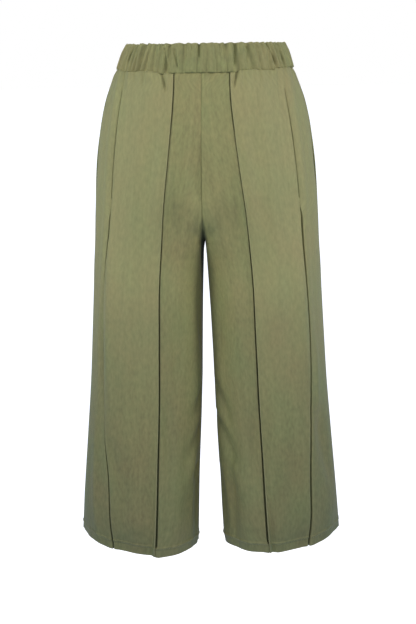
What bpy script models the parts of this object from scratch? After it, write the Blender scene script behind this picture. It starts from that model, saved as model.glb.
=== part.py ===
"""Culottes: wide cropped trousers with an elastic waistband and a box pleat down each front.

The garment hangs as it is worn, filled out and hollow, open at the waist and at both hems.
+Z is up, the front faces -Y, and the origin is the middle of the waistband ring.
Every panel is a wall of cloth built row by row. Each row is a line drawn flat, as
(distance along the cloth, height above it), thickened on both sides and then laid on the
garment's smooth form, so that pleats keep their layers apart. The form is worked out for
the +X half, and the -X half is its mirror image.
"""
import math

import bpy
import numpy as np

# Driving sizes, in metres
WALL = 0.0010  # thickness of a panel's wall
SEAM_GAP = 0.0003  # between two pieces that are sewn together
CROTCH_Z = -0.284
FRONT_RISE_TOP = -0.200  # where the centre-front seam starts to curve back to the crotch
BACK_RISE_TOP = -0.165
LEG_ROUND_Z = -0.400  # below this a leg is a plain tube
CROTCH_REACH = 0.075  # how far the crotch curve pulls on the cloth, as a share of the panel's width
CROTCH_DRAPE = 0.060  # how much lower the cloth beside the seam lets go of the crotch curve
WAIST_SEAM_Z = -0.0222  # at the centre front and back
WAIST_SEAM_RISE = 0.0075  # how much higher the waist seam is at the sides
WAIST_RISE_FOOT_Z = -0.120  # the rows are level again from here down
LEVEL_BELOW_Z = -0.040  # folds stand straight out above this, so that their tops stay under the band
HEM_Z = -0.7755  # at the inner leg
HEM_RISE = 0.0170  # how much higher the hem is at the side seam
HEM_RISE_TOP_Z = -0.450
HEM_DEPTH = 0.0150  # cloth turned up inside at the hem
HEM_LEDGE = 0.0004  # height of the ledge at the turned-up cloth's top edge
ROUNDNESS = 2.25  # of every ring: 2 is an ellipse, more is squarer

BAND_TOP_Z = 0.0230
BAND_WALL = 0.0030  # two layers of cloth over an elastic
GATHERS = 72
GATHER_HEIGHT = 0.0013
GATHER_SCALLOP = 0.0008  # how far each gather lifts the band's top edge
POINTS_PER_GATHER = 4
DIMPLE_WIDTH = 0.0040  # where the band is pulled in at the centre front
DIMPLE_DEPTH = 0.0011

PLEAT_STEP_TOP = 0.0013  # from one layer of a pleat to the next, at the waist
PLEAT_STEP_HEM = 0.0020
INNER_LAP = (0.014, 0.022)  # width folded under the inner edge, at the waist and at the hem
OUTER_LAP = 0.014
OUTER_RELEASE_Z = -0.236  # the outer fold is stitched down above this and free below it
STITCHED_TREAD = 0.0022  # width of each step down where the outer fold is stitched

MOUTH_TOP_Z = -0.092
MOUTH_FOOT_Z = -0.242
MOUTH_GAPE = 0.0048  # how far the front's edge stands back from the seam at mid-mouth
MOUTH_LIFT = 0.0012  # and how far it stands out there
MOUTH_END = 0.0040  # how far the bag's ends stop inside the mouth's
POCKET_DEPTH = 0.112
POCKET_DROP = 0.040  # how far the bag hangs below its mouth
POCKET_WALL = 0.0010
POCKET_SPACE = 0.0030  # between the mid-lines of the bag's two layers
POCKET_HEM = 0.0085  # how far each layer reaches past the middle of the mouth
POCKET_SINK = 0.0009  # how much further under the panel the bag lies inside its mouth
POCKET_TAPER = 0.55  # how much the bag's height narrows at its far edge
POCKET_SQUARENESS = (0.6, 0.5)  # powers that square off its rings, along the mouth and across it
POCKET_STAGES = 8
POCKET_POINTS = 16

# The body of the garment, from the waist seam to the hem
FORM_COLUMNS = ("z", "half_width", "half_gap", "front", "back", "seam_turn")
FORM = (
    (-0.022, 0.1362, 0.0008, 0.0946, 0.0986, 14.0),
    (-0.030, 0.1412, 0.0008, 0.0978, 0.1020, 14.0),
    (-0.042, 0.1462, 0.0008, 0.1008, 0.1058, 14.0),
    (-0.060, 0.1538, 0.0008, 0.1045, 0.1110, 13.5),
    (-0.090, 0.1620, 0.0008, 0.1080, 0.1175, 12.5),
    (-0.128, 0.1680, 0.0008, 0.1110, 0.1250, 10.0),
    (-0.184, 0.1728, 0.0008, 0.1130, 0.1330, 7.0),
    (-0.242, 0.1762, 0.0008, 0.1125, 0.1345, 3.5),
    (-0.284, 0.1776, 0.0008, 0.1110, 0.1310, 1.5),
    (-0.300, 0.1784, 0.0018, 0.1100, 0.1290, 1.0),
    (-0.318, 0.1795, 0.0027, 0.1090, 0.1270, 0.0),
    (-0.357, 0.1810, 0.0045, 0.1070, 0.1220, 0.0),
    (-0.434, 0.1848, 0.0073, 0.1030, 0.1130, 0.0),
    (-0.512, 0.1890, 0.0098, 0.1000, 0.1080, 0.0),
    (-0.591, 0.1948, 0.0127, 0.0985, 0.1060, 0.0),
    (-0.671, 0.2008, 0.0167, 0.0975, 0.1055, 0.0),
    (-0.780, 0.2085, 0.0204, 0.0970, 0.1060, 0.0),
)

# Where the two folded edges of the box pleat run, measured from the centre plane
PLEAT_COLUMNS = ("z", "inner", "outer")
PLEATS = (
    (-0.015, 0.0430, 0.1185),
    (-0.050, 0.0437, 0.1238),
    (-0.110, 0.0489, 0.1333),
    (-0.170, 0.0557, 0.1400),
    (-0.240, 0.0639, 0.1454),
    (-0.320, 0.0706, 0.1531),
    (-0.440, 0.0747, 0.1625),
    (-0.560, 0.0784, 0.1637),
    (-0.640, 0.0825, 0.1612),
    (-0.780, 0.0905, 0.1580),
)

# The waistband's mid-line, from its seam to its top edge
BAND_COLUMNS = ("rise", "half_width", "front", "back")
BAND = (
    (0.0, 0.1360, 0.0946, 0.0986),
    (1.0, 0.1240, 0.0890, 0.0930),
)
# Its outer face from the seam up: (rise, fullness), full where the gathers stand highest
BAND_PROFILE = ((0.0, 0.25), (0.12, 1.0), (0.5, 1.0), (0.88, 1.0), (1.0, 0.2))

# Soft folds that hang down the back of each leg: where each lies from the side seam (0) to
# the centre seam (1), its half width on that scale, its height at the hem and where it starts
BACK_FOLDS = (
    (0.24, 0.085, 0.0050, -0.33),
    (0.50, 0.100, 0.0065, -0.26),
    (0.77, 0.080, 0.0045, -0.37),
)

# Heights of a panel's rows above the hem's turned-up cloth, closest at the waist and the crotch
ROW_HEIGHTS = (
    WAIST_SEAM_Z, -0.028, -0.037, -0.052, -0.072, -0.092, -0.116, -0.142, -0.168, -0.190, -0.208,
    -0.224, -0.2355, -0.2475, -0.2585, -0.2675, -0.2745, -0.2795, -0.2826, CROTCH_Z, -0.300,
    -0.322, -0.350, -0.385, -0.425, -0.468, -0.512, -0.556, -0.602, -0.650, -0.702,
)
# How many columns of points a panel has between its seams and folds
CENTRE_COLUMNS = 5
MIDDLE_COLUMNS = 4
SIDE_COLUMNS = 4
BACK_COLUMNS = 14
SIDE_STRIP = 0.0110  # the back's last strip of cloth beside the side seam
ROW_SAMPLES = 160
NORMAL_STEP = 0.0001

CLOTH_COLOURS = {
    "front": (0.262, 0.266, 0.128, 1.0),
    "back": (0.238, 0.245, 0.120, 1.0),
    "waistband": (0.275, 0.280, 0.135, 1.0),
    "pocket": (0.200, 0.208, 0.105, 1.0),
}


def remove_everything():
    for thing in list(bpy.data.objects):
        bpy.data.objects.remove(thing, do_unlink=True)


def cloth(kind):
    material = bpy.data.materials.new(kind + "_cloth")
    material.use_nodes = True
    surface = material.node_tree.nodes["Principled BSDF"]
    surface.inputs["Base Color"].default_value = CLOTH_COLOURS[kind]
    surface.inputs["Roughness"].default_value = 0.62
    surface.inputs["Metallic"].default_value = 0.0
    return material


def read_table(rows, columns, name, at):
    """A column of a table read at the given values of its first column, as a smooth curve."""
    table = np.array(sorted(rows))
    x = table[:, 0]
    y = table[:, columns.index(name)]
    slope = np.gradient(y, x)
    at = np.clip(np.asarray(at, float), x[0], x[-1])
    i = np.clip(np.searchsorted(x, at, side="right") - 1, 0, len(x) - 2)
    width = x[i + 1] - x[i]
    t = (at - x[i]) / width
    return (
        (1 + 2 * t) * (1 - t) ** 2 * y[i]
        + t * (1 - t) ** 2 * width * slope[i]
        + t * t * (3 - 2 * t) * y[i + 1]
        + t * t * (t - 1) * width * slope[i + 1]
    )


def form(name, z):
    return read_table(FORM, FORM_COLUMNS, name, z)


def ease(value, low, high):
    """0 below low, 1 above high and a smooth rise between them."""
    t = np.clip((np.asarray(value, float) - low) / (high - low), 0, 1)
    return t * t * (3 - 2 * t)


def rounded(angle):
    """How far the squarish ring stands outside an ellipse at this angle."""
    return (np.abs(np.cos(angle)) ** ROUNDNESS + np.abs(np.sin(angle)) ** ROUNDNESS) ** (-1 / ROUNDNESS)


def torso_point(part, z, across):
    """A point on the half ring round the hips. across is 0 at the centre seam and 1 at the side seam."""
    turn = np.radians(form("seam_turn", z))
    if part == "front":
        angle = across * (math.pi / 2 - turn)
        depth = -form("front", z)
    else:
        angle = across * (math.pi / 2 + turn)
        depth = np.where(angle > math.pi / 2, form("front", z), form("back", z))
    scale = rounded(angle)
    return form("half_width", z) * np.sin(angle) * scale, depth * np.cos(angle) * scale


def leg_point(part, z, across):
    """A point on the ring round one leg. across is 0 at the inner seam and 1 at the side seam."""
    turn = np.radians(form("seam_turn", z))
    middle = (form("half_width", z) + form("half_gap", z)) / 2
    half = (form("half_width", z) - form("half_gap", z)) / 2
    if part == "front":
        angle = across * (math.pi - turn)
        depth = -form("front", z)
    else:
        angle = across * (math.pi + turn)
        depth = np.where(angle > math.pi, form("front", z), form("back", z))
    scale = rounded(angle)
    return middle - half * np.cos(angle) * scale, depth * np.sin(angle) * scale


def torso_share(part, z, across):
    """How much of a point follows the hips and not the leg: 1 above the rise, 0 down the leg.

    At the centre seam it falls along a quarter ellipse, which draws the crotch curve."""
    rise_top = FRONT_RISE_TOP if part == "front" else BACK_RISE_TOP
    beside = ease(across, 0, 2 * CROTCH_REACH)
    foot = CROTCH_Z - CROTCH_DRAPE * beside
    below = np.clip((rise_top - z) / (rise_top - foot), 0, 1)
    crotch_curve = (1 - below ** 2) ** (0.5 + 0.75 * beside)
    slow = ease(z, LEG_ROUND_Z, rise_top)
    near_centre = np.exp(-((across / CROTCH_REACH) ** 2))
    return slow + (crotch_curve - slow) * near_centre


def surface(part, z, across):
    """The smooth form of a panel, as an array of points with the last axis x, y, z."""
    z, across = np.broadcast_arrays(np.asarray(z, float), np.asarray(across, float))
    torso = torso_share(part, z, across)
    torso_x, torso_y = torso_point(part, z, across)
    leg_x, leg_y = leg_point(part, z, across)
    x = torso * torso_x + (1 - torso) * leg_x
    y = torso * torso_y + (1 - torso) * leg_y
    waist_lift = WAIST_SEAM_RISE * across ** 2 * ease(z, WAIST_RISE_FOOT_Z, WAIST_SEAM_Z)
    hem_lift = HEM_RISE * across ** 2 * ease(-z, -HEM_RISE_TOP_Z, -HEM_Z)
    return np.stack([x, y, z + waist_lift + hem_lift], -1)


def outward(part, z, across):
    """The form's outward normals, by differences."""
    along = surface(part, z, across + NORMAL_STEP) - surface(part, z, across - NORMAL_STEP)
    up = surface(part, z + NORMAL_STEP, across) - surface(part, z - NORMAL_STEP, across)
    normal = np.cross(along, up)
    if part == "back":
        normal = -normal
    return normal / np.linalg.norm(normal, axis=-1, keepdims=True)


def row_scale(part, z):
    """Samples of one row: across, distance along the cloth from the centre, and x."""
    across = np.linspace(0, 1, ROW_SAMPLES)
    points = surface(part, z, across)
    lengths = np.linalg.norm(np.diff(points, axis=0), axis=1)
    return across, np.concatenate([[0], np.cumsum(lengths)]), points[:, 0]


def mouth_bow(z):
    """How open the pocket's mouth is: 1 at its middle, 0 at its ends and beyond them."""
    t = np.clip((MOUTH_TOP_Z - z) / (MOUTH_TOP_Z - MOUTH_FOOT_Z), 0, 1)
    return np.sin(math.pi * t) ** 2


def spread(start, end, count):
    """count distances between start and end, without the ends."""
    return [start + (end - start) * (i + 1) / (count + 1) for i in range(count)]


def front_row(z):
    """The front's cloth line at one height, drawn flat, from the centre seam to the side seam.

    Each point is (distance, height, flag), with a flag of 1 where the hem can double the cloth."""
    across, distance, x = row_scale("front", z)
    inner = np.interp(read_table(PLEATS, PLEAT_COLUMNS, "inner", z), x, distance)
    outer = np.interp(read_table(PLEATS, PLEAT_COLUMNS, "outer", z), x, distance)
    down = ease(-z, -WAIST_SEAM_Z, -HEM_Z)
    step = PLEAT_STEP_TOP + (PLEAT_STEP_HEM - PLEAT_STEP_TOP) * down
    lap = INNER_LAP[0] + (INNER_LAP[1] - INNER_LAP[0]) * down
    start = SEAM_GAP / 2
    end = distance[-1] - SEAM_GAP / 2 - MOUTH_GAPE * mouth_bow(z)
    line = [(start, 0, 1)]
    for u in spread(0, np.interp(inner, distance, across), CENTRE_COLUMNS):
        line.append((np.interp(u, across, distance), 0, 1))
    line += [(inner, 0, 1), (inner + lap, 0, 1), (inner + lap, step, 0)]
    line += [(inner, step, 0), (inner, 2 * step, 0), (inner + lap, 2 * step, 0)]
    if z < OUTER_RELEASE_Z:
        fold = [(outer - OUTER_LAP, 2, 0), (outer, 2, 0), (outer, 1, 0)]
        fold += [(outer - OUTER_LAP, 1, 0), (outer - OUTER_LAP, 0, 1), (outer, 0, 1)]
    else:
        tread = STITCHED_TREAD
        fold = [(outer - tread, 2, 0), (outer, 2, 0), (outer + 0.2 * tread, 1, 0)]
        fold += [(outer + tread, 1, 0), (outer + 1.2 * tread, 0, 1), (outer + 2 * tread, 0, 1)]
    for s in spread(inner + lap, fold[0][0], MIDDLE_COLUMNS):
        sag = math.sin(math.pi * (s - inner - lap) / (fold[0][0] - inner - lap))
        line.append((s, (2 - sag) * step, 1))
    line += [(s, layers * step, flag) for s, layers, flag in fold]
    line += [(s, 0, 1) for s in spread(fold[-1][0], end, SIDE_COLUMNS)]
    line.append((end, MOUTH_LIFT * mouth_bow(z), 1))
    return np.array(line), across, distance


def back_row(z):
    """The back's cloth line at one height, drawn flat, from the centre seam to the side seam."""
    across, distance, _ = row_scale("back", z)
    end = distance[-1] - SEAM_GAP / 2
    near_side = np.interp(end - SIDE_STRIP, distance, across)
    places = [np.interp(u, across, distance) for u in spread(0, near_side, BACK_COLUMNS)]
    line = []
    for s in [SEAM_GAP / 2] + places + [end - SIDE_STRIP, end]:
        share = 1 - np.interp(s, distance, across)
        height = 0
        for place, width, fold_height, top_z in BACK_FOLDS:
            grown = ease(-z, -top_z, -HEM_Z)
            height += fold_height * grown * math.exp(-(((share - place) / width) ** 2))
        line.append((s, height, 1))
    return np.array(line), across, distance


def offset_line(line, amount):
    """The flat line moved to its left by amount, with mitred corners."""
    ahead = np.diff(line[:, :2], axis=0)
    ahead /= np.linalg.norm(ahead, axis=1, keepdims=True)
    left = np.stack([-ahead[:, 1], ahead[:, 0]], 1)
    before = np.vstack([left[:1], left])
    after = np.vstack([left, left[-1:]])
    mitre = before + after
    mitre /= (mitre * before).sum(1, keepdims=True)
    return line[:, :2] + amount * mitre


def lay(part, z, flat, across, distance, side):
    """Lays flat (distance, height) points on the form, on the +X side or mirrored.

    The top edge is cut level under the waistband. No point crosses the middle plane,
    where the two legs press on each other."""
    u = np.interp(flat[:, 0], distance, across)
    beyond = flat[:, 0] - np.clip(flat[:, 0], 0, distance[-1])
    u = u + beyond / distance[-1]
    out = outward(part, z, u)
    out[:, 2] *= ease(-z, -WAIST_SEAM_Z, -LEVEL_BELOW_Z)
    points = surface(part, z, u) + out * flat[:, 1:2]
    points[:, 0] = side * np.maximum(points[:, 0], SEAM_GAP / 2)
    return points


def wall_object(name, loops, inside_out, kind):
    """A closed body through a list of equal loops, from the top edge to the foot.

    Each loop runs along the outer face and back along the inner face. Both faces are
    split along the same diagonals, which keeps the wall's thickness even."""
    count = len(loops[0])
    half = count // 2
    verts = np.vstack(loops)
    faces = []
    for row in range(len(loops) - 1):
        upper, lower = row * count, (row + 1) * count
        for i in range(count):
            j = (i + 1) % count
            if i < half:
                faces.append((upper + i, lower + i, lower + j))
                faces.append((upper + i, lower + j, upper + j))
            else:
                faces.append((upper + i, lower + i, upper + j))
                faces.append((lower + i, lower + j, upper + j))
    last = (len(loops) - 1) * count
    for i in range(half - 1):
        faces.append((i, i + 1, count - 2 - i, count - 1 - i))
        faces.append((last + count - 1 - i, last + count - 2 - i, last + i + 1, last + i))
    if inside_out:
        faces = [tuple(reversed(face)) for face in faces]
    return mesh_object(name, verts, faces, kind)


def ring_faces(rings, count, closed):
    """Quads between successive rings of count points, and from the last ring to the first if closed."""
    faces = []
    for row in range(rings if closed else rings - 1):
        here, ahead = row * count, (row + 1) % rings * count
        for i in range(count):
            j = (i + 1) % count
            faces.append((here + i, here + j, ahead + j, ahead + i))
    return faces


def mesh_object(name, verts, faces, kind):
    mesh = bpy.data.meshes.new(name)
    mesh.from_pydata([tuple(v) for v in verts], [], faces)
    mesh.validate()
    mesh.materials.append(cloth(kind))
    mesh.shade_smooth()
    mesh.set_sharp_from_angle(angle=math.radians(40))
    thing = bpy.data.objects.new(name, mesh)
    bpy.context.scene.collection.objects.link(thing)
    return thing


def panel(name, part, side):
    """A front or back panel, from the waist seam to the hem, with the hem turned up inside."""
    hem_top = HEM_Z + HEM_DEPTH
    heights = [(z, 0) for z in ROW_HEIGHTS]
    heights += [(hem_top + HEM_LEDGE, 0), (hem_top, 1), (HEM_Z, 1)]
    loops = []
    for z, doubled in heights:
        line, across, distance = front_row(z) if part == "front" else back_row(z)
        outer = offset_line(line, WALL / 2)
        inner = offset_line(line, -WALL / 2)
        inner[:, 1] -= doubled * WALL * line[:, 2]
        outer_points = lay(part, z, outer, across, distance, side)
        inner_points = lay(part, z, inner, across, distance, side)
        loops.append(np.vstack([outer_points, inner_points[::-1]]))
    return wall_object(name, loops, (part == "front") == (side < 0), part)


def band_ring(rise, angle):
    """A point and outward direction on the waistband's mid-line. angle 0 is the centre front."""
    half_width = read_table(BAND, BAND_COLUMNS, "half_width", rise)
    front = read_table(BAND, BAND_COLUMNS, "front", rise)
    back = read_table(BAND, BAND_COLUMNS, "back", rise)
    depth = np.where(np.cos(angle) > 0, front, back)
    scale = rounded(angle)
    x = half_width * np.sin(angle) * scale
    y = -depth * np.cos(angle) * scale
    from_front = np.minimum(angle, 2 * math.pi - angle)
    side_seam = math.pi / 2 - math.radians(form("seam_turn", WAIST_SEAM_Z))
    across = np.minimum(from_front / side_seam, (math.pi - from_front) / (math.pi - side_seam))
    seam_z = WAIST_SEAM_Z + SEAM_GAP + WAIST_SEAM_RISE * across ** 2
    z = seam_z + (BAND_TOP_Z - seam_z) * rise
    out = np.stack([np.sin(angle) / half_width, -np.cos(angle) / depth, 0 * angle], -1)
    out /= np.linalg.norm(out, axis=-1, keepdims=True)
    return np.stack([x, y, z], -1), out


def waistband():
    """The gathered band: waves on its outer face and top edge, a plain inner face."""
    count = GATHERS * POINTS_PER_GATHER
    angle = np.arange(count) * 2 * math.pi / count
    drift = (1.0 * np.sin(3 * angle + 0.6) + 0.7 * np.sin(7 * angle)) / 90
    wave = np.sin(GATHERS * (angle + drift)) * (0.78 + 0.22 * np.sin(11 * angle + 1.0))
    from_front = np.minimum(angle, 2 * math.pi - angle) * BAND[0][2]
    dimple = DIMPLE_DEPTH * np.exp(-((from_front / DIMPLE_WIDTH) ** 2))
    scallop = GATHER_SCALLOP * wave - dimple
    rings = []
    for rise, fullness in BAND_PROFILE:
        points, out = band_ring(np.full(count, rise), angle)
        height = BAND_WALL / 2 * (0.45 + 0.55 * fullness)
        height = height + fullness * (GATHER_HEIGHT * wave - dimple)
        points = points + out * height[:, None]
        points[:, 2] += scallop * (rise == 1.0)
        rings.append(points)
    for rise in (1.0, 0.0):
        points, out = band_ring(np.full(count, rise), angle)
        points = points - out * BAND_WALL / 2
        points[:, 2] += scallop * (rise == 1.0)
        rings.append(points)
    return mesh_object("waistband", np.vstack(rings), ring_faces(len(rings), count, True), "waistband")


def beside_seam(z, s):
    """Point and normal at distance s from the side seam, towards the front, or the back if negative."""
    part = "front" if s >= 0 else "back"
    across, distance, _ = row_scale(part, z)
    u = np.interp(distance[-1] - abs(s), distance, across)
    return surface(part, z, u), outward(part, z, u)


def squared(value, power):
    """A cosine or sine made flatter near its ends, its sign kept."""
    return math.copysign(abs(value) ** power, value)


def pocket(name, side):
    """A flat bag under the front panel, with its mouth in the side seam.

    It is drawn as flat rings that start at the mouth, run forward under the panel and are
    capped at the bag's far edge, and is then thickened."""
    verts = []
    for stage in range(POCKET_STAGES):
        inward = stage / (POCKET_STAGES - 1)
        drop = POCKET_DROP * math.sin(math.pi / 2 * min(1.0, 1.6 * inward))
        middle_z = (MOUTH_TOP_Z + MOUTH_FOOT_Z - drop) / 2
        half_z = (MOUTH_TOP_Z - MOUTH_FOOT_Z + drop) / 2 - MOUTH_END
        half_z *= math.sqrt(1 - POCKET_TAPER * inward ** 4)
        for k in range(POCKET_POINTS):
            turn = 2 * math.pi * k / POCKET_POINTS
            z = middle_z + half_z * squared(math.cos(turn), POCKET_SQUARENESS[0])
            layer = squared(math.sin(turn), POCKET_SQUARENESS[1])
            s = inward * POCKET_DEPTH + (1 - inward) * POCKET_HEM * (layer - 0.12)
            under = WALL / 2 + 1.5 * SEAM_GAP + POCKET_WALL / 2
            if stage > 0:
                under += POCKET_SINK + POCKET_SPACE / 2 * (1 - layer)
            point, normal = beside_seam(z, s)
            x, y, z = point - normal * under
            verts.append((x * side, y, z))
    faces = ring_faces(POCKET_STAGES, POCKET_POINTS, False)
    last = (POCKET_STAGES - 1) * POCKET_POINTS
    faces.append(tuple(range(last, last + POCKET_POINTS)))
    if side < 0:
        faces = [tuple(reversed(face)) for face in faces]
    thing = mesh_object(name, verts, faces, "pocket")
    wall = thing.modifiers.new("wall", "SOLIDIFY")
    wall.thickness = POCKET_WALL
    wall.offset = 0
    return thing


def build():
    remove_everything()
    waistband()
    for side, word in ((1, "right"), (-1, "left")):
        panel("front_" + word, "front", side)
        panel("back_" + word, "back", side)
        pocket("pocket_" + word, side)


build()
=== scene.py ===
"""Culottes in woven olive cloth, hollow and filled out as they are worn.

Sizes are in metres, +Z is up, the front faces -Y and the origin is the middle of the
waistband ring. Left and right are the viewer's, looking at the front.
"""
import math

import bpy
import numpy as np
from mathutils import Matrix, Quaternion, Vector


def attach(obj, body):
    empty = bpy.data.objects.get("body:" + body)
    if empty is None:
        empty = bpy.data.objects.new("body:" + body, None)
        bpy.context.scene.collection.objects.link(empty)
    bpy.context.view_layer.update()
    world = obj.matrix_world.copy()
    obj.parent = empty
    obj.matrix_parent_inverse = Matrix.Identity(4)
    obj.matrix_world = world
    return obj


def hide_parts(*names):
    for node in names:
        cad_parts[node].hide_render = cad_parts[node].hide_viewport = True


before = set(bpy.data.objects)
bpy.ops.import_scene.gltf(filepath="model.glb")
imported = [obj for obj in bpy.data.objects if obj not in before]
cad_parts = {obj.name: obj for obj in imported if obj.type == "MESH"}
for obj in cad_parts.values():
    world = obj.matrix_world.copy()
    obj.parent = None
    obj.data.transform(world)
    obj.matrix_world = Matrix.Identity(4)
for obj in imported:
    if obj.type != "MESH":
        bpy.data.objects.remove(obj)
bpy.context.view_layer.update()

# ---------------------------------------------------------------------------------------
# Fronts
# The front of each leg is one cut of mid-weight plain-weave viscose with a wide box pleat
# down its middle. The inner fold hangs open from waist to hem. The outer fold is stitched
# down to the hip and hangs free below it. The hem is turned up inside and stitched.
# ---------------------------------------------------------------------------------------
CLOTH = 0.0005  # one layer of cloth
SEAM_GAP = 0.00002  # sewn edges lie tight against each other
SEAM_EDGE = (SEAM_GAP + CLOTH) / 2  # from a seam to the middle of the cloth at its edge
SEAM_FADE = 0.008  # the hem's ridge dies out this far from a seam
CROTCH_Z = -0.284
FRONT_RISE_TOP = -0.200
BACK_RISE_TOP = -0.165
LEG_ROUND_Z = -0.400
CROTCH_REACH = 0.075
CROTCH_DRAPE = 0.060
WAIST_SEAM_Z = -0.0222
WAIST_SEAM_RISE = 0.0075
WAIST_RISE_FOOT_Z = -0.120
LEVEL_BELOW_Z = -0.040
HEM_Z = -0.7755
HEM_RISE = 0.0170
HEM_RISE_TOP_Z = -0.450
HEM_DEPTH = 0.0150
HEM_TOP_Z = HEM_Z + HEM_DEPTH
ROUNDNESS = 2.25
ROW_SAMPLES = 160
NORMAL_STEP = 0.0001

# The worn body from the waist seam to the hem, one ring a row
FORM_COLUMNS = ("z", "half_width", "half_gap", "front", "back", "seam_turn")
FORM = (
    (-0.022, 0.1362, 0.0000, 0.0946, 0.0986, 14.0),
    (-0.030, 0.1412, 0.0000, 0.0978, 0.1020, 14.0),
    (-0.042, 0.1462, 0.0000, 0.1008, 0.1058, 14.0),
    (-0.060, 0.1538, 0.0000, 0.1045, 0.1110, 13.5),
    (-0.090, 0.1620, 0.0000, 0.1080, 0.1175, 12.5),
    (-0.128, 0.1680, 0.0000, 0.1110, 0.1250, 10.0),
    (-0.184, 0.1728, 0.0000, 0.1130, 0.1330, 7.0),
    (-0.242, 0.1762, 0.0000, 0.1125, 0.1345, 3.5),
    (-0.284, 0.1776, 0.0000, 0.1110, 0.1310, 1.5),
    (-0.300, 0.1784, 0.0018, 0.1100, 0.1290, 1.0),
    (-0.318, 0.1795, 0.0027, 0.1090, 0.1270, 0.0),
    (-0.357, 0.1810, 0.0045, 0.1070, 0.1220, 0.0),
    (-0.434, 0.1848, 0.0073, 0.1030, 0.1130, 0.0),
    (-0.512, 0.1890, 0.0098, 0.1000, 0.1080, 0.0),
    (-0.591, 0.1948, 0.0127, 0.0985, 0.1060, 0.0),
    (-0.671, 0.2008, 0.0167, 0.0975, 0.1055, 0.0),
    (-0.780, 0.2085, 0.0204, 0.0970, 0.1060, 0.0),
)

# Where the pleat's folded edges run, from the centre plane, and how far to +X each leans
PLEAT_COLUMNS = ("z", "inner", "outer", "inner_shift", "outer_shift")
PLEATS = (
    (-0.015, 0.0430, 0.1185, 0.0000, 0.0000),
    (-0.050, 0.0437, 0.1238, 0.0000, 0.0000),
    (-0.110, 0.0489, 0.1333, 0.0005, 0.0005),
    (-0.170, 0.0557, 0.1400, 0.0010, 0.0010),
    (-0.240, 0.0639, 0.1454, 0.0018, 0.0014),
    (-0.320, 0.0706, 0.1531, 0.0026, 0.0018),
    (-0.440, 0.0747, 0.1625, 0.0036, 0.0022),
    (-0.560, 0.0784, 0.1637, 0.0046, 0.0026),
    (-0.640, 0.0825, 0.1612, 0.0052, 0.0028),
    (-0.780, 0.0905, 0.1580, 0.0058, 0.0030),
)
# How far each fold strays outwards from that on each leg: height and stray in millimetres
FOLD_STRAY = {
    ("left", "inner"): ((-780, 1.6), (-720, 2.2), (-360, 2.0), (-280, 0.6), (-200, 0)),
    ("right", "inner"): ((-780, 1.6), (-720, 1.8), (-360, 1.4), (-280, 0.6), (-200, 0)),
    ("left", "outer"): ((-780, -2.5), (-720, -3.4), (-660, -4.4), (-600, -1.0), (-500, 0)),
    ("right", "outer"): (
        (-780, -1.0), (-725, -2.3), (-663, -4.6), (-601, -5.8), (-508, -7.8), (-446, -7.4),
        (-352, -5.0), (-290, -3.4), (-240, 0),
    ),
}
PLEAT_STEP = (0.0013, 0.0020)  # from one layer to the next, at the waist and at the hem
INNER_LAP = (0.014, 0.022)
OUTER_LAP = 0.014
OUTER_RELEASE = (-0.214, -0.250)  # the stitching ends between these, and the fold comes free
STITCHED_SLOPE = 0.0010  # half the width of the step where the outer fold is stitched
STITCHED_GROOVE = (0.0014, 0.0028)  # depth and half width of the groove that its stitches draw
FOLD = (0.0006, 0.0010)  # radius of a pressed fold, at the waist and at the hem
SLIT = (0.0014, 0.0036)  # open width beside the inner fold, at the waist and at the hem
SLIT_CLOSED = (-0.085, -0.125, -0.235, -0.300)  # half as wide between the middle two heights
SLIT_DIP = 0.0062  # how deep the centre of the panel drops into it
SLIT_SWELL = (0.0008, 0.009)  # height and half width of its shoulder's swell
UNDER_STEP = 0.0012
# Beside the outer fold: width of the slit, how deep the cloth drops into it, height of the side
# panel at its edge, and how far from the edge the side panel comes back to the level
OUTER_SLIT = {"left": (0.0034, 0.0042, 0.0012, 0.018), "right": (0.0036, 0.0052, 0.0034, 0.026)}
# Beyond the outer fold the side panel swells: height, distance beyond the fold, half width, and
# how much of it is left on each leg where the fold hangs free
SIDE_SWELL = (0.0028, 0.0130, 0.0080)
FREE_SWELL = {"left": 0.9, "right": 0.2}
PRESS = 0.0016  # height of the press line down the middle of the pleat
PLEAT_HIGHLIGHT = (0.40, -0.62, -0.36)  # how much paler the pleat and side panel are painted, from nothing at the first height to all of it at the second: painted highlight on the upper leg
KNEE_PRESS = (-0.536, 0.004, 0.0006)  # a line where the garment was folded in two: z, width, height
MOUTH_TOP_Z = -0.092
MOUTH_FOOT_Z = -0.242
MOUTH_GAPE = 0.0048
MOUTH_LIFT = 0.0012  # how far the back's lip stands out
ROLL = 0.0009  # radius of a seamed edge where it turns in
ALLOWANCE = 0.0040  # depth of cloth turned in at a seam
HEM_TURN = 0.00045  # radius of the fold at the hem's foot
HEM_BOW = 0.0135  # how far the pleat bows in just above the hem's doubled cloth
HEM_BOW_REACH = 0.060  # and how far up that reaches
BELLY_DIP = 0.0060  # how far the cloth between the folds falls in from the belly to the crotch
HEM_FLARE = 0.0070  # how far the panel beside the inner fold swings out towards the hem
HEM_RIDGE = (0.0013, 0.0017)  # height and half width of the ridge along the turned-up edge
HEM_TUCK = 0.0018  # how far the foot turns in below that ridge
ROW_PITCH = 0.0033

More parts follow.
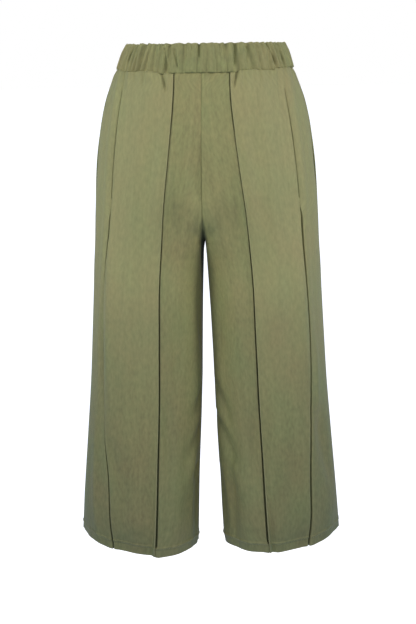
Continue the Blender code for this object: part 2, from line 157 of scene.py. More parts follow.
# Soft creases by leg, in millimetres: x from the centre plane and z at the top, the same at the
# foot, half width, and height, which is negative for a trough
FRONT_CREASES = {
    "both": (
        (0.5, -120, 0.5, -250, 13, -4.6), (8.5, -205, 10.5, -330, 14, 4),
        (11, -236, 27, -880, 22, 6), (12, -250, 20, -350, 6, -1),
    ),
    "left": (
        (14, -100, 6, -228, 12, -4.2), (54, -60, 80, -350, 9.5, 2.8), (141, -270, 153, -530, 12, 6),
        (20, -150, 1, -244, 7, -1.8), (31, -80, 34, -200, 10, -1.6), (30, -210, 28, -330, 9, 1.2),
        (8, -500, 27, -572, 10, -4.6), (7, -545, 32, -640, 12, -5.6), (8, -610, 26, -670, 9, -4),
        (18, -600, 42, -690, 11, 3.6), (61, -520, 60, -660, 9, -5.2), (48, -600, 60, -800, 16, 4.6),
        (19, -600, 26, -790, 12, -7), (159, -340, 166, -620, 10, -5),
        (148, -590, 144, -660, 9, -3.6), (177, -560, 180, -790, 10, 4),
        (110, -330, 108, -560, 16, -1.4), (128, -600, 133, -790, 14, -3.6),
        (94, -60, 103, -300, 20, 1.4), (70, -300, 56, -470, 10, 2), (16, -340, 10, -500, 9, -2.6),
        (43, -400, 48, -520, 9, -2), (64.6, -4, 54.5, -52, 2.6, -6.6), (75, -8, 70, -42, 3, -1.4),
        (88, -4, 90, -46, 3, -1.4), (101, -4, 105, -40, 3, -1.2), (49, -8, 48, -40, 2.5, -1.2),
        (30, -8, 31, -38, 3, -1), (14, -8, 15, -40, 3, -1), (118, -8, 123, -90, 5, -1.6),
    ),
    "right": (
        (56, -60, 83, -350, 9.5, 2.8), (140, -260, 155, -540, 12, 5.2),
        (16, -172, 1, -240, 6, -1.6), (29, -160, 20, -262, 8.5, 2), (16, -500, 34, -575, 10, -6),
        (14, -550, 42, -640, 11, -7), (20, -640, 30, -760, 9, -5), (30, -600, 56, -690, 11, 3.8),
        (74, -530, 74.5, -660, 9, -5.2), (60, -600, 72, -800, 16, 4.6),
        (33, -600, 44, -790, 12, -6.4), (23, -340, 25, -480, 9, -2.8), (48, -330, 52, -480, 10, 2),
        (172, -540, 196, -690, 16, -6.6), (169, -420, 174, -580, 8, 3),
        (130, -600, 134, -790, 14, -4.2), (105, -480, 101, -640, 13, 2.2),
        (98, -60, 105, -320, 18, 1.4), (128, -300, 121, -600, 15, -1.8),
        (90, -420, 94, -640, 12, -1.4), (56.5, -4, 48, -48, 2.6, -6.6),
        (48, -8, 44, -40, 2.5, -1.4), (68, -4, 69, -40, 3, -1.2), (85, -8, 88, -48, 4, -1.4),
        (28, -8, 29, -38, 3, -1), (12, -8, 13, -40, 3, -1), (111, -8, 118, -90, 5, -1.8),
    ),
}
# Ripples of cloth eased into the band, each with its wavelength and height at the seam
EASED_RIPPLES = ((0.0083, 0.00042), (0.0121, 0.00055), (0.0207, 0.00060))
EASED_FOOT_Z = -0.055
SEAM_RIPPLE = (0.0004, 0.0086)  # height and wavelength of the waist seam's fine ripple
BACK_SEAM_WAVE = (0.0011, 0.057)  # and of the slow one at the back
SEAM_WAVE_END = 0.135
SEAM_WAVE_FOOT_Z = -0.048

# The next three are pairs in millimetres. How far the waist seam strays up and down at each x
SEAM_WAVE = (
    (-136, 0), (-131, -0.3), (-118, -1.5), (-90.6, 1.7), (-76.7, 1.2), (-63.4, -1.7), (-48.1, -0.8),
    (-27.3, 0.3), (-5.7, 0.6), (15.9, 0.5), (40.6, 0.3), (51, 0), (57.6, 2.4), (83.8, 2.5),
    (94.6, 0.9), (107.7, -0.6), (112.5, 2.6), (125.5, 1.2), (136, 0),
)
# How far each leg's hem stands above the level, by distance from the centre plane
HEM_EDGE = {
    "left": ((9, 0), (26, 0), (44, -3), (64, -4.8), (79, -6.4), (92, -4.4), (114, -3.4), (139, -1.2),
             (153, 0), (174, 3.6), (186, 5.2), (208, 4)),
    "right": ((15, 6), (31, 5.8), (43, 5.2), (63, 3.8), (86, 3.4), (110, -0.8), (138, 1.2), (160, 3.4),
              (178, 5), (195, 7), (208, 5)),
}
HEM_EDGE_TOP_Z = -0.620
# How far the centre seam and the inner leg of each side stray towards +X, by height
SWAY = {
    "left": ((-780, 0), (-620, -1.2), (-500, -0.8), (-380, -2.6), (-300, -3.6), (-284, -2.7),
             (-250, -2.6), (-200, -2.6), (-22, -1.2)),
    "right": ((-780, 4.4), (-660, 3.6), (-560, 2), (-460, 0.6), (-380, -1.4), (-300, -2.8),
              (-250, -2.6), (-200, -2.6), (-22, -1.2)),
}
SWAY_WIDTH = 0.045


def read_table(rows, columns, name, at):
    """A column of a table read at the given values of its first column, as a smooth curve."""
    table = np.array(rows)
    table = table[np.argsort(table[:, 0])]
    x, y = table[:, 0], table[:, columns.index(name)]
    slope = np.gradient(y, x)
    at = np.clip(np.asarray(at, float), x[0], x[-1])
    i = np.clip(np.searchsorted(x, at, side="right") - 1, 0, len(x) - 2)
    width = x[i + 1] - x[i]
    t = (at - x[i]) / width
    return (
        (1 + 2 * t) * (1 - t) ** 2 * y[i]
        + t * (1 - t) ** 2 * width * slope[i]
        + t * t * (3 - 2 * t) * y[i + 1]
        + t * t * (t - 1) * width * slope[i + 1]
    )


def read_pairs(pairs, at):
    """Metres read off pairs in millimetres, with straight lines between them."""
    places, values = np.array(pairs).T / 1000
    return np.interp(at, places, values)


def form(name, z):
    return read_table(FORM, FORM_COLUMNS, name, z)


def ease(value, low, high):
    """0 below low, 1 above high and a smooth rise between them."""
    t = np.clip((np.asarray(value, float) - low) / (high - low), 0, 1)
    return t * t * (3 - 2 * t)


def below(value, high, low):
    """0 above high, 1 below low and a smooth change between them."""
    return ease(-value, -high, -low)


def within(value, low, high, fade):
    """1 between low and high, fading out to 0 at both."""
    return ease(value, low, low + fade) * below(value, high, high - fade)


def bell(value, middle, half_width):
    """1 at the middle, falling smoothly away on both sides."""
    return np.exp(-(((value - middle) / half_width) ** 2))


def mix(pair, share):
    return pair[0] + (pair[1] - pair[0]) * share


def rounded(angle):
    """How far the squarish ring stands outside an ellipse at this angle."""
    power = np.abs(np.cos(angle)) ** ROUNDNESS + np.abs(np.sin(angle)) ** ROUNDNESS
    return power ** (-1 / ROUNDNESS)


def ring_point(part, z, across, sweep):
    """A point on the half ring round the hips (sweep pi / 2) or the ring round one leg (sweep pi).

    across is 0 at the centre or inner seam and 1 at the side seam."""
    turn = np.radians(form("seam_turn", z))
    if part == "front":
        angle = across * (sweep - turn)
        depth = -form("front", z)
    else:
        angle = across * (sweep + turn)
        depth = np.where(angle > sweep, form("front", z), form("back", z))
    along, over = np.cos(angle) * rounded(angle), np.sin(angle) * rounded(angle)
    if sweep < math.pi:
        return form("half_width", z) * over, depth * along
    middle = (form("half_width", z) + form("half_gap", z)) / 2
    return middle - (middle - form("half_gap", z)) * along, depth * over


def torso_share(part, z, across):
    """How much of a point follows the hips and not the leg: 1 above the rise, 0 down the leg.

    At the centre seam it falls along a quarter ellipse, which draws the crotch curve."""
    rise_top = FRONT_RISE_TOP if part == "front" else BACK_RISE_TOP
    beside = ease(across, 0, 2 * CROTCH_REACH)
    foot = CROTCH_Z - CROTCH_DRAPE * beside
    down = np.clip((rise_top - z) / (rise_top - foot), 0, 1)
    crotch_curve = (1 - down ** 2) ** (0.5 + 0.75 * beside)
    slow = ease(z, LEG_ROUND_Z, rise_top)
    return slow + (crotch_curve - slow) * bell(across, 0, CROTCH_REACH)


def surface(part, z, across):
    """The smooth form of a panel, as an array of points with the last axis x, y, z."""
    z, across = np.broadcast_arrays(np.asarray(z, float), np.asarray(across, float))
    torso = torso_share(part, z, across)
    hips, leg = ring_point(part, z, across, math.pi / 2), ring_point(part, z, across, math.pi)
    x, y = (mix(pair, torso) for pair in zip(leg, hips))
    waist_lift = WAIST_SEAM_RISE * across ** 2 * ease(z, WAIST_RISE_FOOT_Z, WAIST_SEAM_Z)
    hem_lift = HEM_RISE * across ** 2 * below(z, HEM_RISE_TOP_Z, HEM_Z)
    return np.stack([x, y, z + waist_lift + hem_lift], -1)


def outward(part, z, across):
    """The form's outward normals, by differences."""
    along = surface(part, z, across + NORMAL_STEP) - surface(part, z, across - NORMAL_STEP)
    up = surface(part, z + NORMAL_STEP, across) - surface(part, z - NORMAL_STEP, across)
    normal = np.cross(along, up)
    if part == "back":
        normal = -normal
    return normal / np.linalg.norm(normal, axis=-1, keepdims=True)


def row_scale(part, z):
    """Samples of one row: across, distance along the cloth from the centre, and x."""
    across = np.linspace(0, 1, ROW_SAMPLES)
    points = surface(part, z, across)
    lengths = np.linalg.norm(np.diff(points, axis=0), axis=1)
    return across, np.concatenate([[0], np.cumsum(lengths)]), points[:, 0]


def creased(creases, side, z, s, distance, x):
    """Height of the soft creases at distances s along one row."""
    height = np.zeros(len(s))
    for row in creases["both"] + creases["right" if side > 0 else "left"]:
        x_top, z_top, x_foot, z_foot, half_width, tall = np.array(row) / 1000
        down = (z_top - z) / (z_top - z_foot)
        if 0 < down < 1:
            middle = np.interp(mix((x_top, x_foot), down), x, distance)
            height += tall * math.sin(math.pi * down) ** 0.8 * bell(s, middle, half_width)
    return height


def eased(z, s, side):
    """Height of the ripples just under the waistband."""
    height = np.zeros(len(s))
    for index, (wavelength, tall) in enumerate(EASED_RIPPLES):
        height += tall * np.sin(2 * math.pi * s / wavelength + 2.1 * index + side)
    return ease(z, EASED_FOOT_Z, WAIST_SEAM_Z) * height


def seam_wave(front, x):
    """How far the waist seam strays up or down at x, on the front or the back."""
    from_end = SEAM_WAVE_END - np.abs(x)
    tall, wavelength = SEAM_RIPPLE
    fine = tall * np.sin(2 * math.pi * x / wavelength) * ease(from_end, 0, 0.012)
    if front:
        return read_pairs(SEAM_WAVE, x) + fine
    tall, wavelength = BACK_SEAM_WAVE
    return tall * np.sin(2 * math.pi * x / wavelength + 0.8) * ease(from_end, 0, 0.030) + fine


def stray(front, side, z, points):
    """Moves points by the unevenness of the waist seam, the hem and the centre seam."""
    x = points[:, 0]
    word = "right" if side > 0 else "left"
    points[:, 2] += seam_wave(front, x) * ease(z, SEAM_WAVE_FOOT_Z, WAIST_SEAM_Z)
    points[:, 2] += read_pairs(HEM_EDGE[word], np.abs(x)) * below(z, HEM_EDGE_TOP_Z, HEM_Z)
    points[:, 0] += read_pairs(SWAY[word], z) * bell(x, 0, SWAY_WIDTH)
    return points


def mouth_bow(z):
    """How open the pocket's mouth is: 1 at its middle, 0 at its ends and beyond them."""
    t = np.clip((MOUTH_TOP_Z - z) / (MOUTH_TOP_Z - MOUTH_FOOT_Z), 0, 1)
    return math.sin(math.pi * t) ** 2


def side_allowance(z):
    """How deep the side seam's edge turns in: hardly at all along the pocket's mouth."""
    along_mouth = below(z, MOUTH_TOP_Z + 0.014, MOUTH_TOP_Z) * ease(z, MOUTH_FOOT_Z - 0.014, MOUTH_FOOT_Z)
    return mix((ALLOWANCE, ROLL * 1.1), along_mouth)


def straight(start, end, count, power=1):
    """count points from start to end, without start and with end. A power over 1 crowds the start."""
    share = (np.arange(1, count + 1)[:, None] / count) ** power
    return np.array(start) + (np.array(end) - np.array(start)) * share


def half_turn(s, low, high, bulge, count):
    """A fold: a half circle of cloth from height low to height high, out to one side."""
    turn = np.linspace(-math.pi / 2, math.pi / 2, count)
    radius = (high - low) / 2
    return np.stack([s + bulge * abs(radius) * np.cos(turn), (high + low) / 2 + radius * np.sin(turn)], 1)


def edge_roll(s, height, depth, away):
    """A seamed edge from its turned-in cloth up to its face. away is +1 if the face lies at larger s."""
    turn = np.linspace(math.pi, math.pi / 2, 5)
    arc = np.stack([s + away * ROLL * (1 + np.cos(turn)), height - ROLL * (1 - np.sin(turn))], 1)
    foot = np.array([[s, height - depth], [s, height - (depth + ROLL) / 2]])
    return np.vstack([foot, arc])


def front_line(z, side):
    """The front's cloth at one height, drawn flat as (distance, height), and each point's share of the
    paler shade, mostly painted highlight.

    The last value is the point that the cloth's grain follows, here the inner fold's."""
    across, distance, x = row_scale("front", z)
    word = "right" if side > 0 else "left"
    down = below(z, WAIST_SEAM_Z, HEM_Z)
    step, lap, fold_radius = mix(PLEAT_STEP, down), mix(INNER_LAP, down), mix(FOLD, down)
    slit = mix(SLIT, down) * (1 - 0.75 * below(z, HEM_TOP_Z + 0.004, HEM_TOP_Z - 0.003))
    start_z, closed_z, opening_z, open_z = SLIT_CLOSED
    slit *= 1 - 0.5 * below(z, start_z, closed_z) * ease(z, open_z, opening_z)
    folds = []
    for name in ("inner", "outer"):
        place = read_table(PLEATS, PLEAT_COLUMNS, name, z) + read_pairs(FOLD_STRAY[word, name], z)
        place = place + side * read_table(PLEATS, PLEAT_COLUMNS, name + "_shift", z)
        folds.append(float(np.interp(place, x, distance)))
    inner, outer = folds
    start, end = SEAM_EDGE, distance[-1] - SEAM_EDGE - MOUTH_GAPE * mouth_bow(z)

    # From the centre seam to the inner fold, down into the slit, back under and out again
    centre_seam = edge_roll(start, 0, ALLOWANCE, 1)
    shoulder = inner - slit
    centre = straight(centre_seam[-1], (shoulder - ROLL, 0), 30)
    centre[:, 1] += SLIT_SWELL[0] * bell(centre[:, 0], shoulder, SLIT_SWELL[1])
    swell = centre[-1, 1]
    drop = edge_roll(shoulder, swell, swell + SLIT_DIP, -1)[::-1][1:]
    under = straight((shoulder, -SLIT_DIP), (inner + lap, 0.001 - SLIT_DIP), 7)
    tuck = half_turn(inner + lap, under[-1, 1], under[-1, 1] + UNDER_STEP, 1, 5)[1:]
    back_layer = straight(tuck[-1], (inner + fold_radius, 2 * step - 2 * fold_radius), 7)
    fold = half_turn(inner + fold_radius, back_layer[-1, 1], 2 * step, -1, 7)[1:]

    # The outer fold: a groove where it is stitched, turned under and back where it hangs free
    free = below(z, *OUTER_RELEASE)
    slit_width, dip, lip, lip_reach = OUTER_SLIT[word]
    turned = [half_turn(outer - step / 2, step, 2 * step, 1, 8)[::-1]]
    turned += [straight(turned[0][-1], (outer - OUTER_LAP, step), 5)]
    turned += [half_turn(outer - OUTER_LAP, 0, step, -1, 5)[::-1][1:]]
    turned += [straight(turned[2][-1], (outer + slit_width, -dip), 6)[:-1]]
    turned += [edge_roll(outer + slit_width, lip, lip + dip, 1)]
    turned = np.vstack(turned)
    slope = np.linspace(-1, 1, len(turned))
    stitched = np.stack([outer + STITCHED_SLOPE * slope, 2 * step * below(slope, 1, -1)], 1)
    outer_fold = mix((stitched, turned), free)

    panel = straight(fold[-1], outer_fold[0], 60, 1.4)[:-1]
    share = (panel[:, 0] - inner) / (outer_fold[0, 0] - inner)
    panel[:, 1] += PRESS * (1 - np.sqrt((2 * share - 1) ** 2 + 0.004))
    press_z, press_width, press_height = KNEE_PRESS
    panel[:, 1] += press_height * bell(z, press_z, press_width) * ease(share, 0.3, 0.8)
    side_seam = edge_roll(end, 0, side_allowance(z), -1)[::-1]
    side_panel = straight(outer_fold[-1], side_seam[0], 22)[:-1]
    side_panel[:, 1] = lip * free * below(side_panel[:, 0], outer + lip_reach, outer + 0.002)

    # Each piece's share of the paler shade. The pleat and side panel take the painted highlight of the
    # upper leg, the inner fold's edge and the shoulder beside its slit a painted highlight along the slit,
    # and the outer fold 0.3 where it hangs free.
    wear_and_highlight_share = PLEAT_HIGHLIGHT[0] * ease(z, *PLEAT_HIGHLIGHT[1:])
    pieces = [
        (centre_seam, 0), (centre, 0.05), (drop, 0.35), (under, 0), (tuck, 0), (back_layer, 0), (fold, 0.9),
        (panel, wear_and_highlight_share), (outer_fold, mix((wear_and_highlight_share, 0.3), free)), (side_panel, wear_and_highlight_share), (side_seam, wear_and_highlight_share),
    ]
    line = np.vstack([piece for piece, _ in pieces])
    wear_and_highlight = np.concatenate([np.full(len(piece), float(wear_and_highlight_level)) for piece, wear_and_highlight_level in pieces])

    s = line[:, 0]
    line[:, 1] += creased(FRONT_CREASES, side, z, s, distance, x) + eased(z, s, side)
    line[:, 1] += hem_ridge(z) * within(s, start, end, SEAM_FADE)
    groove_depth, groove_width = STITCHED_GROOVE
    groove_depth *= (1 - free) * below(z, WAIST_SEAM_Z, -0.060)
    line[:, 1] -= groove_depth * bell(s, outer + 0.001, groove_width)
    swell_height, swell_place, swell_width = SIDE_SWELL
    swell_height *= mix((1, FREE_SWELL[word]), free) * ease(z, -0.62, -0.40)
    line[:, 1] += swell_height * bell(s, outer + swell_place, swell_width)
    on_pleat = ease(s, inner - 0.004, inner + 0.004) * (1 - 0.6 * ease(s, outer - 0.01, outer + 0.01))
    on_pleat *= (0.45 + 0.55 * ease(s, inner, outer - 0.015)) * below(s, end, end - 0.035)
    line[:, 1] -= HEM_BOW * hem_bow(z) * on_pleat
    beside_fold = ease(s, start + 0.012, shoulder - 0.010) * below(s, inner + 0.004, inner - 0.001)
    line[:, 1] += HEM_FLARE * below(z, -0.610, -0.745) * beside_fold
    between = below(s, shoulder - 0.002, shoulder - 0.014)
    between *= 1 - below(z, -0.205, -0.262) * below(s, start + 0.030, start)
    line[:, 1] -= BELLY_DIP * below(z, -0.120, -0.230) * ease(z, -0.300, -0.236) * between
    return line, wear_and_highlight, across, distance, sum(len(piece) for piece, _ in pieces[:7])


def hem_bow(z):
    """How much the cloth bows in: from nothing above HEM_BOW_REACH to all of it at the hem's top."""
    above = (HEM_TOP_Z + HEM_BOW_REACH - z) / (HEM_BOW_REACH + 0.002)
    return min(max(above, 0.0), 1.0) ** 2.6


def hem_ridge(z):
    """Height of the ridge where the turned-up cloth ends inside, and of the tuck-in below it."""
    height, half_width = HEM_RIDGE
    return height * bell(z, HEM_TOP_Z, half_width) - HEM_TUCK * below(z, HEM_TOP_Z, HEM_Z)


def offset_line(line, amount):
    """The flat line moved to its left by amount, with mitred corners."""
    ahead = np.diff(line[:, :2], axis=0)
    ahead /= np.linalg.norm(ahead, axis=1, keepdims=True)
    left = np.stack([-ahead[:, 1], ahead[:, 0]], 1)
    before = np.vstack([left[:1], left])
    after = np.vstack([left, left[-1:]])
    mitre = before + after
    mitre /= np.maximum((mitre * before).sum(1, keepdims=True), 0.4)
    return line[:, :2] + amount * mitre


def lay(part, z, flat, across, distance, side):
    """Lays flat (distance, height) points on the form, on the +X side or mirrored."""
    u = np.interp(flat[:, 0], distance, across)
    u = u + (flat[:, 0] - np.clip(flat[:, 0], 0, distance[-1])) / distance[-1]
    out = outward(part, z, u)
    out[:, 2] *= below(z, WAIST_SEAM_Z, LEVEL_BELOW_Z)
    # The edges of the centre seam lie flat against each other down to the crotch
    out[:, 0] *= 1 - ease(z, CROTCH_Z - 0.002, CROTCH_Z + 0.010) * below(flat[:, 0], 0.012, 0.002)
    points = surface(part, z, u) + out * flat[:, 1:2]
    points[:, 0] = side * np.maximum(points[:, 0], SEAM_EDGE)
    return stray(part == "front", side, z, points)


def panel_rows():
    """Height and inset of each row: rolled in under the band, down the panel, round the hem."""
    rolled_in = ((0.0006, 0.0022), (0.0002, 0.0009), (-0.0008, 0.0002))
    rows = [(WAIST_SEAM_Z + up, inset) for up, inset in rolled_in]
    rows += [(z, 0) for z in np.arange(WAIST_SEAM_Z - 0.0022, HEM_TOP_Z + 0.0075, -ROW_PITCH)]
    rows += [(z, 0) for z in np.linspace(HEM_TOP_Z + 0.0055, HEM_TOP_Z - 0.0045, 13)]
    rows += [(z, 0) for z in np.linspace(HEM_TOP_Z - 0.0065, HEM_Z + HEM_TURN, 5)]
    for turn in np.linspace(0, math.pi, 6)[1:]:
        rows.append((HEM_Z + HEM_TURN * (1 - math.sin(turn)), HEM_TURN * (1 - math.cos(turn))))
    rows += [(z, 2 * HEM_TURN) for z in np.linspace(HEM_Z + HEM_TURN, HEM_TOP_Z, 6)[1:]]
    return rows


def panel_grid(part, side, make_line):
    """Points, cloth coordinates and share of the paler shade of a panel, each as an array of rows and
    columns: painted highlight on the fronts, and a paler hem foot from use.
    """
    points, coordinates, wear_and_highlight = [], [], []
    length, last_z = 0.0, WAIST_SEAM_Z
    for z, inset in panel_rows():
        line, row_wear_and_highlight, across, distance, grain = make_line(z, side)
        length += abs(z - last_z) + 0.0002
        last_z = z
        along = np.concatenate([[0], np.cumsum(np.linalg.norm(np.diff(line, axis=0), axis=1))])
        flat = offset_line(line, -inset) if inset else line
        points.append(lay(part, z, flat, across, distance, side))
        coordinates.append(np.stack([side * (along - along[grain]), np.full(len(along), -length)], 1))
        wear_and_highlight.append(np.maximum(row_wear_and_highlight, 0.8 * bell(z, HEM_Z, 0.0012)))
    return np.array(points), np.array(coordinates), np.array(wear_and_highlight)


def add_object(name, data):
    thing = bpy.data.objects.new(name, data)
    bpy.context.scene.collection.objects.link(thing)
    return thing


def cloth_object(name, grid, coordinates, wear_and_highlight, inside_out, material, closed=False):
    """A sheet of cloth from a grid of points, given its thickness, its UV map and its share of the paler
    shade, which is partly from use and partly painted highlight.
    """
    rows, columns = grid.shape[:2]
    index = np.arange(rows * columns).reshape(rows, columns)
    if closed:
        index = np.hstack([index, index[:, :1]])
    quads = np.stack([index[:-1, :-1], index[1:, :-1], index[1:, 1:], index[:-1, 1:]], -1).reshape(-1, 4)
    if inside_out:
        quads = quads[:, ::-1]
    mesh = bpy.data.meshes.new(name)
    mesh.from_pydata(grid.reshape(-1, 3).tolist(), [], quads.tolist())
    flat = coordinates.reshape(-1, 2)[quads.reshape(-1)]
    if closed:
        seam = np.tile(np.arange(columns), rows - 1) == columns - 1
        wraps = np.repeat(seam, 4) & np.isin(quads.reshape(-1), index[:, 0])
        flat = flat + np.outer(wraps, (coordinates[0, -1, 0] + coordinates[0, 1, 0], 0))
    mesh.uv_layers.new(name="Cloth").data.foreach_set("uv", flat.astype(np.float32).reshape(-1))
    wear_and_highlight_level = mesh.attributes.new("wear_and_highlight", "FLOAT", "POINT")
    wear_and_highlight_level.data.foreach_set("value", wear_and_highlight.reshape(-1).astype(np.float32))
    mesh.materials.append(material)
    mesh.shade_smooth()
    thing = add_object(name, mesh)
    wall = thing.modifiers.new("wall", "SOLIDIFY")
    wall.thickness = CLOTH
    wall.offset = 0
    return thing


def linear(hex_colour):
    """An sRGB hex colour as linear RGBA."""
    values = [int(hex_colour[i:i + 2], 16) / 255 for i in (1, 3, 5)]
    return [v / 12.92 if v <= 0.04045 else ((v + 0.055) / 1.055) ** 2.4 for v in values] + [1]


def empty_material(name):
    """A new material and its emptied node tree."""
    material = bpy.data.materials.new(name)
    material.use_nodes = True
    material.node_tree.nodes.clear()
    return material, material.node_tree


def add_node(tree, kind, inputs=None, **properties):
    """Adds a node. Each of its inputs is given a value, a socket or a node, whose first output is used."""
    made = tree.nodes.new(kind)
    for name, value in properties.items():
        setattr(made, name, value)
    for name, given in (inputs or {}).items():
        if isinstance(given, bpy.types.Node):
            given = given.outputs[0]
        if isinstance(given, bpy.types.NodeSocket):
            tree.links.new(given, made.inputs[name])
        else:
            made.inputs[name].default_value = given
    return made


def arithmetic(tree, operation, *numbers):
    return add_node(tree, "ShaderNodeMath", dict(enumerate(numbers)), operation=operation)


def blended(tree, share, first, second, blend_type="MIX"):
    """The colour output of a node that blends two colours."""
    inputs = {0: share, 6: first, 7: second}
    return add_node(tree, "ShaderNodeMix", inputs, data_type="RGBA", blend_type=blend_type).outputs[2]


def woven_viscose(name, cool, warm, wear_and_highlight_shade):
    """Woven viscose in two near shades of yarn, which show as small streaks along the grain
    and fine slubs. It has a soft sheen. A paler shade is mixed in where the mesh asks for it: from use at
    the hem's foot and the band's top edge, and as painted highlight along the fronts' inner folds and over
    their upper pleats."""
    thread = 0.0009  # real threads are 0.4 mm apart; drawn coarser so that they show
    material, tree = empty_material(name)
    place = add_node(tree, "ShaderNodeUVMap", uv_map="Cloth")
    noises = {}
    for kind, scale, detail in (
        ("yarn", (150, 60, 1), 1.0), ("slub", (270, 95, 1), 2.0),
        ("streak", (120, 11, 1), 2.0), ("blotch", (15, 9, 1), 2.0),
    ):
        stretched = add_node(tree, "ShaderNodeMapping", {"Vector": place, "Scale": scale})
        inputs = {"Vector": stretched, "Scale": 1.0, "Detail": detail, "Roughness": 0.5}
        noises[kind] = add_node(tree, "ShaderNodeTexNoise", inputs)
    mottled = arithmetic(tree, "MULTIPLY_ADD", noises["blotch"], 5.0, noises["yarn"])
    yarn = add_node(tree, "ShaderNodeMapRange", {"Value": mottled, "From Min": 1.6, "From Max": 4.4})
    dyed = blended(tree, yarn, linear(cool), linear(warm))
    slubs = arithmetic(tree, "MULTIPLY_ADD", noises["slub"], 0.62, 0.565)
    tone = arithmetic(tree, "MULTIPLY_ADD", noises["streak"], 0.30, slubs)
    toned = blended(tree, 1.0, dyed, tone, "MULTIPLY")
    # The paler shade is partly from use and partly painted highlight, as the mesh's attribute gives it.
    wear_and_highlight_node = add_node(tree, "ShaderNodeAttribute", attribute_name="wear_and_highlight")
    wear_and_highlight_share = arithmetic(tree, "MULTIPLY", wear_and_highlight_node.outputs["Fac"], 0.55)
    axes = add_node(tree, "ShaderNodeSeparateXYZ", {0: place})
    phases = [arithmetic(tree, "MULTIPLY", axes.outputs[axis], 2 * math.pi / thread) for axis in ("X", "Y")]
    weave = arithmetic(tree, "MULTIPLY", *(arithmetic(tree, "SINE", phase) for phase in phases))
    height = arithmetic(tree, "MULTIPLY_ADD", noises["slub"], 2.2, weave)
    rough = add_node(tree, "ShaderNodeMapRange", {"Value": noises["slub"], "To Min": 0.56, "To Max": 0.70})
    bump = add_node(tree, "ShaderNodeBump", {"Strength": 0.35, "Distance": 0.00008, "Height": height})
    shader = add_node(tree, "ShaderNodeBsdfPrincipled", {
        "Base Color": blended(tree, wear_and_highlight_share, toned, linear(wear_and_highlight_shade)), "Roughness": rough, "Normal": bump,
        "Metallic": 0.0, "IOR": 1.46, "Specular IOR Level": 0.35,
        "Sheen Weight": 0.16, "Sheen Roughness": 0.42, "Sheen Tint": linear("#D6DECB"),
    })
    add_node(tree, "ShaderNodeOutputMaterial", {0: shader})
    return material


leg_cloth = woven_viscose("woven_viscose_leg", "#798257", "#837F57", "#9A9B74")
sides = {"right": 1, "left": -1}
panels = {}
for word, side in sides.items():
    grid, coordinates, wear_and_highlight = panel_grid("front", side, front_line)
    name = "front_" + word + "_cloth"
    panels["front", word] = cloth_object(name, grid, coordinates, wear_and_highlight, side < 0, leg_cloth)

# ---------------------------------------------------------------------------------------
# Backs
# The back of each leg is one plain cut of the same cloth, seamed to its neighbour down the
# centre and to the front down the side and the inner leg, with the same turned-up hem.
# ---------------------------------------------------------------------------------------
BACK_BOW = 0.0054  # how far the back bows in just above the hem
# Soft hanging folds: place from the side seam (0) to the centre seam (1), half width on that
# scale, height at the hem and z where each starts
BACK_FOLDS = (
    (0.24, 0.085, 0.0050, -0.33),
    (0.50, 0.100, 0.0065, -0.26),
    (0.77, 0.080, 0.0045, -0.37),
)
BACK_CREASES = {
    "both": (
        (4, -120, 9, -300, 10, -1.8), (22, -200, 40, -330, 12, 1),
    ),
    "left": (
        (10, -480, 40, -540, 11, -2), (14, -580, 36, -640, 10, -1.6),
        (60, -240, 90, -300, 12, -1.4), (150, -280, 120, -360, 10, -1), (90, -26, 84, -70, 6, -1),
        (40, -26, 44, -60, 5, -0.9),
    ),
    "right": (
        (12, -500, 46, -570, 12, -2.2), (16, -610, 34, -690, 10, -1.5),
        (54, -250, 94, -320, 12, -1.5), (156, -300, 122, -370, 10, -1.1), (76, -26, 82, -76, 6, -1),
        (36, -26, 30, -64, 5, -0.9),
    ),
}


def back_line(z, side):
    """The back's cloth at one height, drawn flat as (distance, height), and its share of the paler shade,
    which is none.
    """
    across, distance, x = row_scale("back", z)
    start, end = SEAM_EDGE, distance[-1] - SEAM_EDGE
    centre_seam = edge_roll(start, 0, ALLOWANCE, 1)
    side_seam = edge_roll(end, 0, side_allowance(z), -1)[::-1]
    middle = straight(centre_seam[-1], side_seam[0], 104)[:-1]
    line = np.vstack([centre_seam, middle, side_seam])
    s = line[:, 0]
    share = 1 - np.interp(s, distance, across)
    for place, width, tall, top_z in BACK_FOLDS:
        line[:, 1] += tall * below(z, top_z, HEM_Z) * bell(share, place, width)
    line[:, 1] += creased(BACK_CREASES, side, z, s, distance, x) + eased(z, s, side)
    line[:, 1] += MOUTH_LIFT * mouth_bow(z) * ease(s, end - 0.02, end)
    line[:, 1] += hem_ridge(z) * within(s, start, end, SEAM_FADE)
    line[:, 1] -= BACK_BOW * hem_bow(z) * within(s, start, end, 0.040)
    return line, np.zeros(len(line)), across, distance, -1


for word, side in sides.items():
    grid, coordinates, wear_and_highlight = panel_grid("back", side, back_line)
    name = "back_" + word + "_cloth"
    panels["back", word] = cloth_object(name, grid, coordinates, wear_and_highlight, side > 0, leg_cloth)

for (part, word), thing in panels.items():
    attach(thing, "root")
    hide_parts(part + "_" + word)

# ---------------------------------------------------------------------------------------
# Waistband
# One strip of the same cloth folded over a wide elastic and sewn to the tops of the four
# panels. The elastic draws it up all round into soft upright gathers, a few of them deep.
# ---------------------------------------------------------------------------------------
BAND_TOP_Z = 0.0230
# The band's middle line at its foot and at its top: half width, depth in front, depth behind
BAND_RING = ((0.1360, 0.1240), (0.0946, 0.0890), (0.0986, 0.0930))
BAND_FACE = 0.0016  # from the band's middle line out to its cloth
BAND_LEAN = 0.0036  # how far the left end's top edge leans in
GATHERS = 72
GATHER_HEIGHT = 0.0064
GATHER_SCALLOP = 0.0021
POINTS_PER_GATHER = 12
GATHER_RADIUS = 0.110  # turns the deep gathers' widths into angles
DEEP_STRENGTH = 1.9  # scales the depths of all the deep gathers
